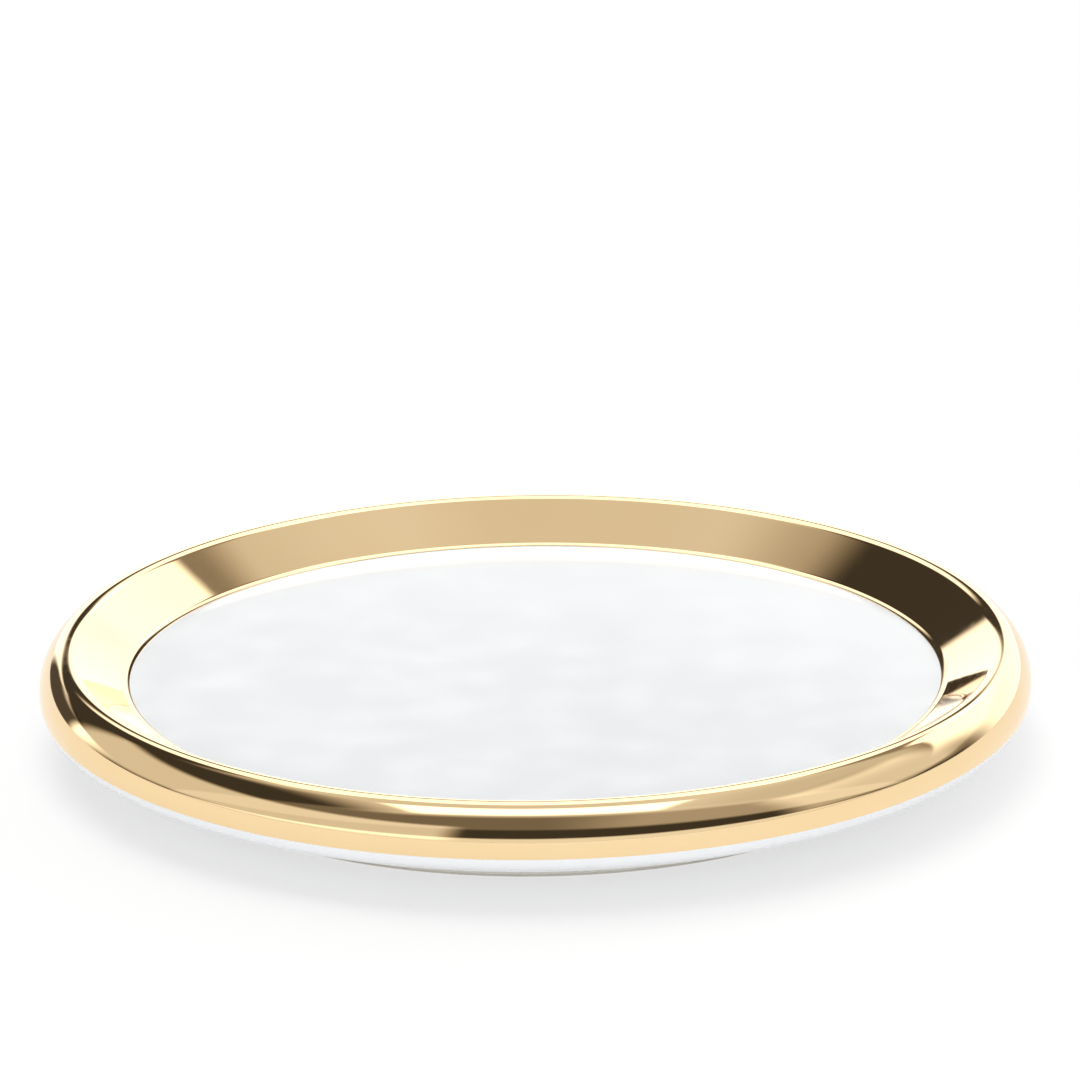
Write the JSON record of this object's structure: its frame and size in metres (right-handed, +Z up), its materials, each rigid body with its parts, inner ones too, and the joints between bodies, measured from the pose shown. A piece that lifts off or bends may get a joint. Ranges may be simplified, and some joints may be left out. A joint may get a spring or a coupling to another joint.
{
  "type": "ring dish",
  "caption": "Shallow round ceramic ring dish with a flat white glazed well, a sloping mirror-gold rim and a recessed foot ring.",
  "frame": {"origin": "centre of the foot ring's bottom face, on the table", "axes": "+Z up along the dish's axis; +X to the right and -Y towards the viewer of the picture"},
  "size_m": [0.11, 0.11, 0.012],
  "materials": {
    "bare_clay": "fired and unglazed, matt",
    "white_glaze": "smooth cool white glaze, glossy",
    "foot_glaze": "white glaze, glossy, slightly uneven",
    "fired_gold": "mirror-bright fired gold"
  },
  "bodies": {
    "root": {"dish_body": "bare_clay", "glaze_coat": "white_glaze", "recess_glaze": "foot_glaze", "gold_band": "fired_gold"}
  },
  "joints": []
}
